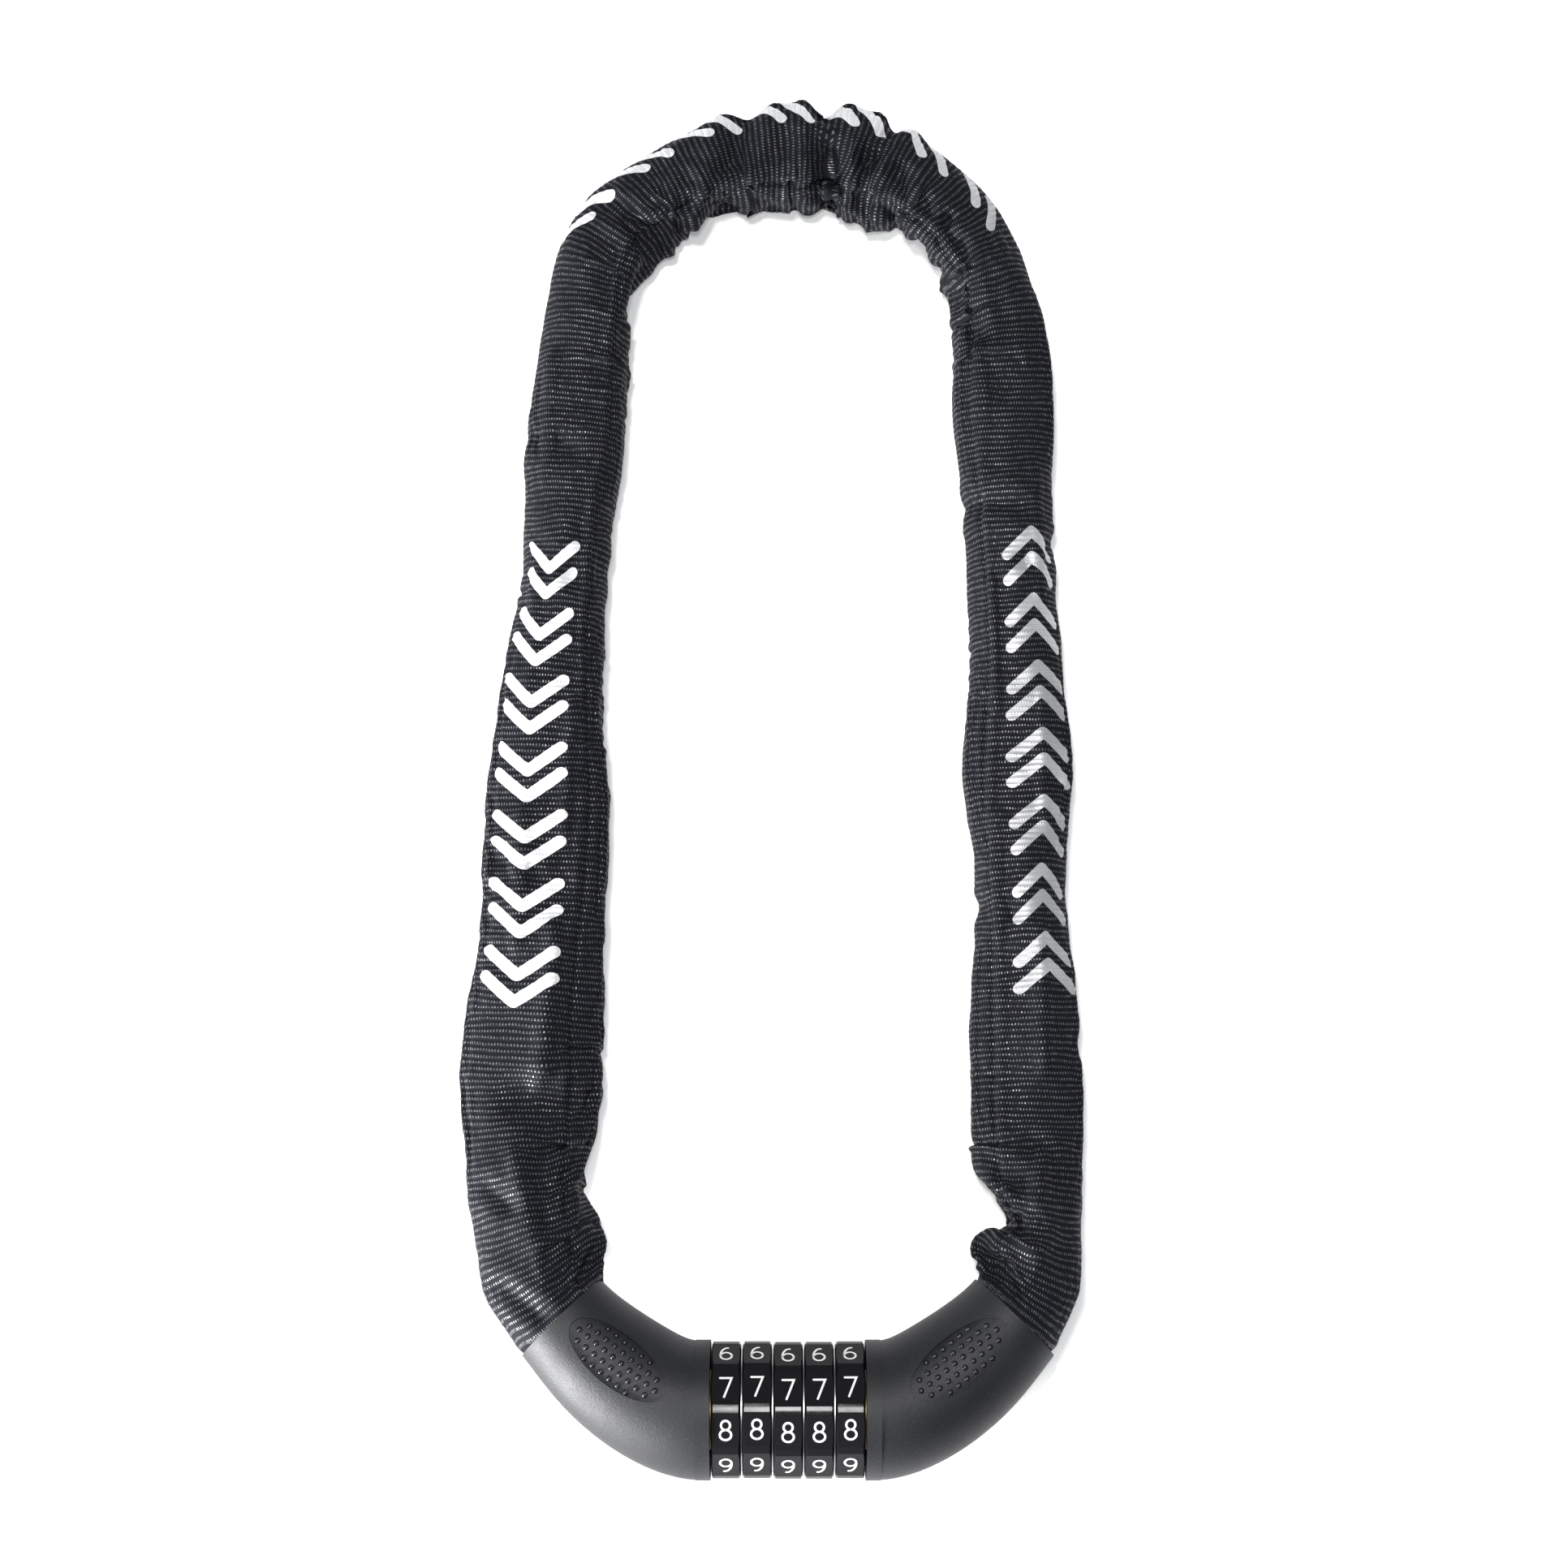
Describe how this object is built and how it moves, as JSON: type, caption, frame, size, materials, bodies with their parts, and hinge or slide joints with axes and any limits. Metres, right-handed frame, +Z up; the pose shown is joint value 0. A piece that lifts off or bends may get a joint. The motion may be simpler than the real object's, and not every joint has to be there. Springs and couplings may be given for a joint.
{
  "type": "combination chain lock",
  "caption": "Closed loop chain lock: numbered dials on a barrel between two bent housings, and a steel chain in a flat woven sleeve; the plug half pulls out of the lock half.",
  "frame": {"origin": "middle of the loop's footprint, on the plane it rests on", "axes": "+Y from the lock body up the loop to the crown of the chain; +X from the lock half to the plug half, along the dials' axis; +Z up off the resting plane"},
  "size_m": [0.131, 0.296, 0.028],
  "materials": {
    "housing": "fine spark-eroded grain, soft-touch",
    "dial": "glossy",
    "die_cast": "die-cast zinc alloy, as cast",
    "hard_steel": "ground",
    "spring_steel": "bright",
    "core_brass": "turned",
    "code_brass": "pressed",
    "chain": "zinc plated",
    "sleeve": "ribbed woven polyester"
  },
  "bodies": {
    "lock_body": {"lock_housing_upper": "housing", "lock_housing_lower": "housing", "lock_carrier": "die_cast", "lock_anchor_pin": "hard_steel", "dial_washers": "spring_steel", "return_spring": "spring_steel", "sleeve_tail_lock": "sleeve"},
    "core": {"core_tube": "hard_steel", "core_spacers": "core_brass", "core_clip": "hard_steel", "detent_spring": "spring_steel"},
    "plug": {"plug_housing_upper": "housing", "plug_housing_lower": "housing", "plug_carrier": "die_cast", "plug_anchor_pin": "hard_steel", "locking_pin": "hard_steel", "sleeve_tail_plug": "sleeve"},
    "dial_1": {"dial_1": "dial"},
    "code_ring_1": {"code_ring_1": "code_brass"},
    "dial_2": {"dial_2": "dial"},
    "code_ring_2": {"code_ring_2": "code_brass"},
    "dial_3": {"dial_3": "dial"},
    "code_ring_3": {"code_ring_3": "code_brass"},
    "dial_4": {"dial_4": "dial"},
    "code_ring_4": {"code_ring_4": "code_brass"},
    "dial_5": {"dial_5": "dial"},
    "code_ring_5": {"code_ring_5": "code_brass"},
    "link_01": {"chain_link_01": "chain"},
    "link_02": {"chain_link_02": "chain", "sleeve_1": "sleeve"},
    "link_03": {"chain_link_03": "chain"},
    "link_04": {"chain_link_04": "chain"},
    "link_05": {"chain_link_05": "chain", "sleeve_2": "sleeve"},
    "link_06": {"chain_link_06": "chain"},
    "link_07": {"chain_link_07": "chain"},
    "link_08": {"chain_link_08": "chain", "sleeve_3": "sleeve"},
    "link_09": {"chain_link_09": "chain"},
    "link_10": {"chain_link_10": "chain"},
    "link_11": {"chain_link_11": "chain", "sleeve_4": "sleeve"},
    "link_12": {"chain_link_12": "chain"},
    "link_13": {"chain_link_13": "chain"},
    "link_14": {"chain_link_14": "chain", "sleeve_5": "sleeve"},
    "link_15": {"chain_link_15": "chain"},
    "link_16": {"chain_link_16": "chain"},
    "link_17": {"chain_link_17": "chain", "sleeve_6": "sleeve"},
    "link_18": {"chain_link_18": "chain"},
    "link_19": {"chain_link_19": "chain"},
    "link_20": {"chain_link_20": "chain", "sleeve_7": "sleeve"},
    "link_21": {"chain_link_21": "chain"},
    "link_22": {"chain_link_22": "chain"},
    "link_23": {"chain_link_23": "chain", "sleeve_8": "sleeve"},
    "link_24": {"chain_link_24": "chain"}
  },
  "joints": [
    {"name": "plug_slide", "type": "slide", "parent": "lock_body", "child": "plug", "axis": [1, 0, 0], "range_m": [0, 0.045]},
    {"name": "core_reset_slide", "type": "slide", "parent": "lock_body", "child": "core", "axis": [-1, 0, 0], "range_m": [0, 0.0022], "stiffness_N_per_m": 400, "springref_m": -0.002, "deforming": ["return_spring"]},
    {"name": "dial_1_turn", "type": "hinge", "parent": "lock_body", "child": "dial_1", "pos_m": [-0.00973, -0.13406, 0.014], "axis": [1, 0, 0], "continuous": true},
    {"name": "code_ring_1_turn", "type": "hinge", "parent": "core", "child": "code_ring_1", "pos_m": [-0.00973, -0.13406, 0.014], "axis": [1, 0, 0], "continuous": true},
    {"name": "dial_2_turn", "type": "hinge", "parent": "lock_body", "child": "dial_2", "pos_m": [-0.00353, -0.13406, 0.014], "axis": [1, 0, 0], "continuous": true},
    {"name": "code_ring_2_turn", "type": "hinge", "parent": "core", "child": "code_ring_2", "pos_m": [-0.00353, -0.13406, 0.014], "axis": [1, 0, 0], "continuous": true},
    {"name": "dial_3_turn", "type": "hinge", "parent": "lock_body", "child": "dial_3", "pos_m": [0.00267, -0.13406, 0.014], "axis": [1, 0, 0], "continuous": true},
    {"name": "code_ring_3_turn", "type": "hinge", "parent": "core", "child": "code_ring_3", "pos_m": [0.00267, -0.13406, 0.014], "axis": [1, 0, 0], "continuous": true},
    {"name": "dial_4_turn", "type": "hinge", "parent": "lock_body", "child": "dial_4", "pos_m": [0.00887, -0.13406, 0.014], "axis": [1, 0, 0], "continuous": true},
    {"name": "code_ring_4_turn", "type": "hinge", "parent": "core", "child": "code_ring_4", "pos_m": [0.00887, -0.13406, 0.014], "axis": [1, 0, 0], "continuous": true},
    {"name": "dial_5_turn", "type": "hinge", "parent": "lock_body", "child": "dial_5", "pos_m": [0.01507, -0.13406, 0.014], "axis": [1, 0, 0], "continuous": true},
    {"name": "code_ring_5_turn", "type": "hinge", "parent": "core", "child": "code_ring_5", "pos_m": [0.01507, -0.13406, 0.014], "axis": [1, 0, 0], "continuous": true},
    {"name": "link_01_swing", "type": "hinge", "parent": "lock_body", "child": "link_01", "pos_m": [-0.03463, -0.12462, 0.014], "axis": [0, 0, 1], "range_deg": [-0.7011, 0]},
    {"name": "link_02_swing", "type": "hinge", "parent": "link_01", "child": "link_02", "pos_m": [-0.04599, -0.11198, 0.01357], "axis": [0, 0, 1], "range_deg": [-1.74, 0]},
    {"name": "link_03_swing", "type": "hinge", "parent": "link_02", "child": "link_03", "pos_m": [-0.05175, -0.08795, 0.01076], "axis": [0, 0, 1], "range_deg": [-1.7, 0]},
    {"name": "link_04_swing", "type": "hinge", "parent": "link_03", "child": "link_04", "pos_m": [-0.05081, -0.06316, 0.00905], "axis": [0, 0, 1], "range_deg": [-1.67, 0]},
    {"name": "link_05_swing", "type": "hinge", "parent": "link_04", "child": "link_05", "pos_m": [-0.04915, -0.03835, 0.0084], "axis": [0, 0, 1], "range_deg": [-1.63, 0]},
    {"name": "link_06_swing", "type": "hinge", "parent": "link_05", "child": "link_06", "pos_m": [-0.04846, -0.01349, 0.00834], "axis": [0, 0, 1], "range_deg": [-1.6, 0]},
    {"name": "link_07_swing", "type": "hinge", "parent": "link_06", "child": "link_07", "pos_m": [-0.0475, 0.01136, 0.00842], "axis": [0, 0, 1], "range_deg": [0, 1.43]},
    {"name": "link_08_swing", "type": "hinge", "parent": "link_07", "child": "link_08", "pos_m": [-0.04553, 0.03615, 0.00842], "axis": [0, 0, 1], "range_deg": [0, 1.46]},
    {"name": "link_09_swing", "type": "hinge", "parent": "link_08", "child": "link_09", "pos_m": [-0.04405, 0.06098, 0.0084], "axis": [0, 0, 1], "range_deg": [0, 1.49]},
    {"name": "link_10_swing", "type": "hinge", "parent": "link_09", "child": "link_10", "pos_m": [-0.04279, 0.08581, 0.0084], "axis": [0, 0, 1], "range_deg": [0, 1.52]},
    {"name": "link_11_swing", "type": "hinge", "parent": "link_10", "child": "link_11", "pos_m": [-0.03697, 0.10999, 0.0084], "axis": [0, 0, 1], "range_deg": [0, 1.55]},
    {"name": "link_12_swing", "type": "hinge", "parent": "link_11", "child": "link_12", "pos_m": [-0.02093, 0.129, 0.0084], "axis": [0, 0, 1], "range_deg": [0, 1.56]},
    {"name": "link_24_swing", "type": "hinge", "parent": "plug", "child": "link_24", "pos_m": [0.03997, -0.12462, 0.014], "axis": [0, 0, 1], "range_deg": [0, 0.7013]},
    {"name": "link_23_swing", "type": "hinge", "parent": "link_24", "child": "link_23", "pos_m": [0.05104, -0.11173, 0.0136], "axis": [0, 0, 1], "range_deg": [0, 1.31]},
    {"name": "link_22_swing", "type": "hinge", "parent": "link_23", "child": "link_22", "pos_m": [0.054, -0.08723, 0.01051], "axis": [0, 0, 1], "range_deg": [0, 1.82]},
    {"name": "link_21_swing", "type": "hinge", "parent": "link_22", "child": "link_21", "pos_m": [0.05218, -0.06248, 0.00894], "axis": [0, 0, 1], "range_deg": [0, 1.78]},
    {"name": "link_20_swing", "type": "hinge", "parent": "link_21", "child": "link_20", "pos_m": [0.05154, -0.03762, 0.00845], "axis": [0, 0, 1], "range_deg": [0, 1.75]},
    {"name": "link_19_swing", "type": "hinge", "parent": "link_20", "child": "link_19", "pos_m": [0.05146, -0.01275, 0.0084], "axis": [0, 0, 1], "range_deg": [0, 1.71]},
    {"name": "link_18_swing", "type": "hinge", "parent": "link_19", "child": "link_18", "pos_m": [0.05122, 0.01212, 0.0084], "axis": [0, 0, 1], "range_deg": [-1.33, 0]},
    {"name": "link_17_swing", "type": "hinge", "parent": "link_18", "child": "link_17", "pos_m": [0.05073, 0.03698, 0.0084], "axis": [0, 0, 1], "range_deg": [-1.37, 0]},
    {"name": "link_16_swing", "type": "hinge", "parent": "link_17", "child": "link_16", "pos_m": [0.05, 0.06184, 0.0084], "axis": [0, 0, 1], "range_deg": [-1.41, 0]},
    {"name": "link_15_swing", "type": "hinge", "parent": "link_16", "child": "link_15", "pos_m": [0.04891, 0.08669, 0.0084], "axis": [0, 0, 1], "range_deg": [-1.44, 0]},
    {"name": "link_14_swing", "type": "hinge", "parent": "link_15", "child": "link_14", "pos_m": [0.04379, 0.11102, 0.0084], "axis": [0, 0, 1], "range_deg": [-1.48, 0]},
    {"name": "link_13_swing", "type": "hinge", "parent": "link_14", "child": "link_13", "pos_m": [0.02723, 0.12958, 0.0084], "axis": [0, 0, 1], "range_deg": [-1.52, 0]}
  ],
  "couplings": [
    {"joint": "code_ring_1_turn", "follows": "dial_1_turn", "ratio": 1},
    {"joint": "code_ring_2_turn", "follows": "dial_2_turn", "ratio": 1},
    {"joint": "code_ring_3_turn", "follows": "dial_3_turn", "ratio": 1},
    {"joint": "code_ring_4_turn", "follows": "dial_4_turn", "ratio": 1},
    {"joint": "code_ring_5_turn", "follows": "dial_5_turn", "ratio": 1},
    {"joint": "link_01_swing", "follows": "plug_slide", "rad_per_m": -0.27175},
    {"joint": "link_02_swing", "follows": "plug_slide", "rad_per_m": -0.67322},
    {"joint": "link_03_swing", "follows": "plug_slide", "rad_per_m": -0.65838},
    {"joint": "link_04_swing", "follows": "plug_slide", "rad_per_m": -0.64575},
    {"joint": "link_05_swing", "follows": "plug_slide", "rad_per_m": -0.63367},
    {"joint": "link_06_swing", "follows": "plug_slide", "rad_per_m": -0.62148},
    {"joint": "link_07_swing", "follows": "plug_slide", "rad_per_m": 0.55386},
    {"joint": "link_08_swing", "follows": "plug_slide", "rad_per_m": 0.56548},
    {"joint": "link_09_swing", "follows": "plug_slide", "rad_per_m": 0.57758},
    {"joint": "link_10_swing", "follows": "plug_slide", "rad_per_m": 0.59002},
    {"joint": "link_11_swing", "follows": "plug_slide", "rad_per_m": 0.60075},
    {"joint": "link_12_swing", "follows": "plug_slide", "rad_per_m": 0.60552},
    {"joint": "link_24_swing", "follows": "plug_slide", "rad_per_m": 0.27185},
    {"joint": "link_23_swing", "follows": "plug_slide", "rad_per_m": 0.50971},
    {"joint": "link_22_swing", "follows": "plug_slide", "rad_per_m": 0.70654},
    {"joint": "link_21_swing", "follows": "plug_slide", "rad_per_m": 0.69194},
    {"joint": "link_20_swing", "follows": "plug_slide", "rad_per_m": 0.67741},
    {"joint": "link_19_swing", "follows": "plug_slide", "rad_per_m": 0.66283},
    {"joint": "link_18_swing", "follows": "plug_slide", "rad_per_m": -0.51552},
    {"joint": "link_17_swing", "follows": "plug_slide", "rad_per_m": -0.53025},
    {"joint": "link_16_swing", "follows": "plug_slide", "rad_per_m": -0.54488},
    {"joint": "link_15_swing", "follows": "plug_slide", "rad_per_m": -0.55946},
    {"joint": "link_14_swing", "follows": "plug_slide", "rad_per_m": -0.57476},
    {"joint": "link_13_swing", "follows": "plug_slide", "rad_per_m": -0.59021}
  ]
}
